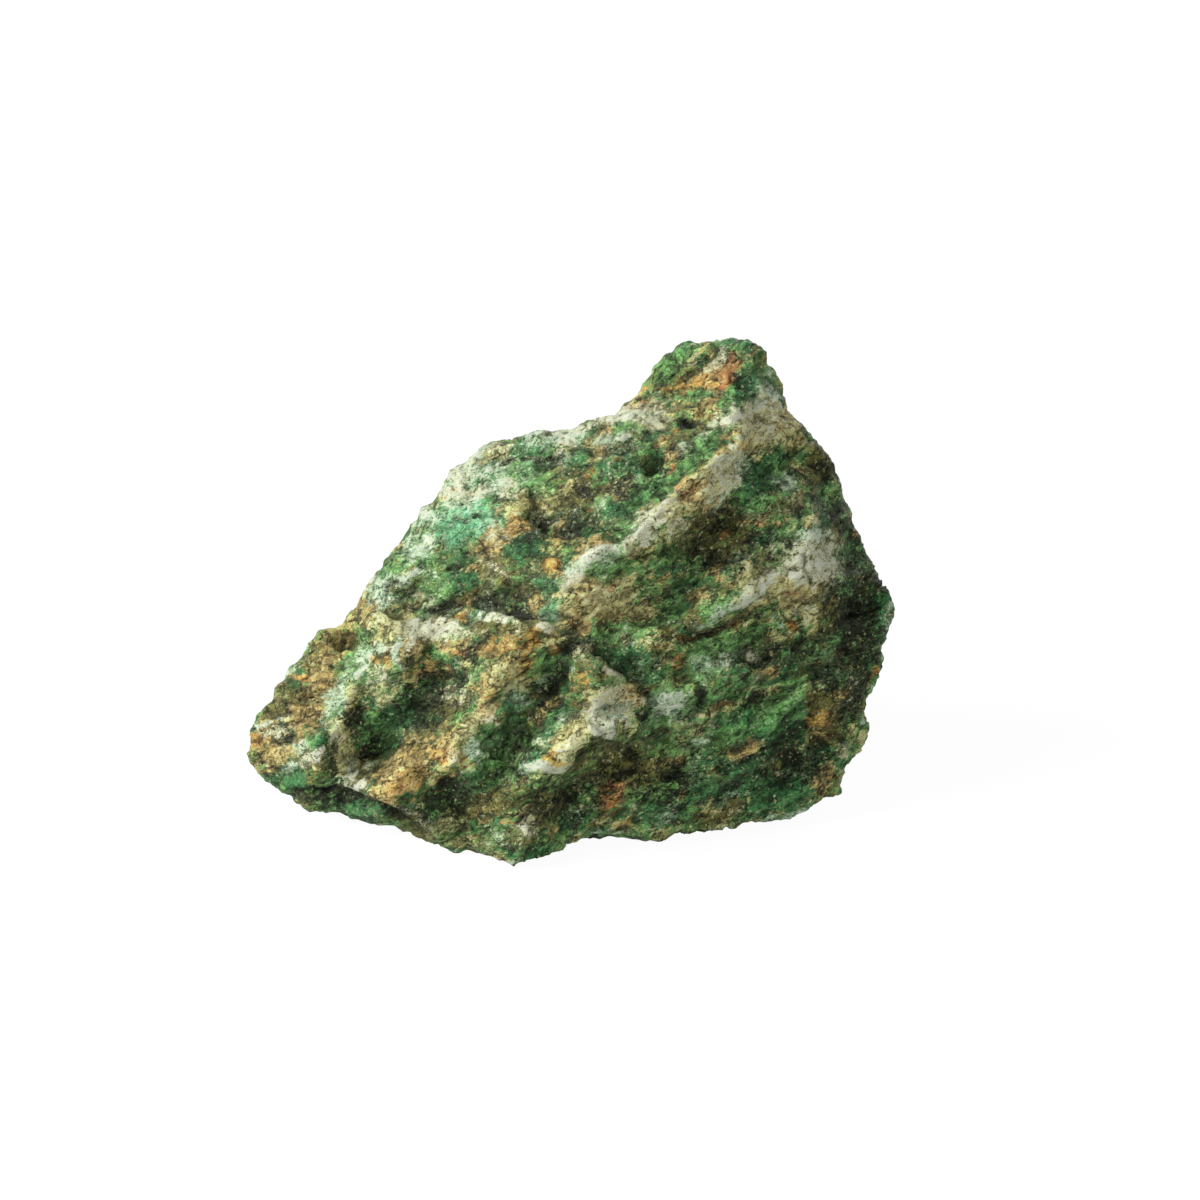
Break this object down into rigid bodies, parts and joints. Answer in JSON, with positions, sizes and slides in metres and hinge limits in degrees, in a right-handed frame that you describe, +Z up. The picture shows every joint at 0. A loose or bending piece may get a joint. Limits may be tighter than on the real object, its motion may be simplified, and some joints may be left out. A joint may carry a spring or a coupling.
{
  "type": "rough green aventurine stone",
  "caption": "Rough broken stone of green aventurine quartzite, a low wedge with a knob at its top, that lies on a flat spot of its underside.",
  "frame": {"origin": "on the ground, under the middle of the stone's bounding box", "axes": "+X along the stone's length towards its thick end, +Y away from the viewer of its front, +Z up"},
  "size_m": [0.08, 0.0498, 0.0506],
  "materials": {
    "stone": "rough fracture surface, green with pale quartz and rusty patches, small mica glints"
  },
  "bodies": {
    "root": {"stone": "stone"}
  },
  "joints": []
}
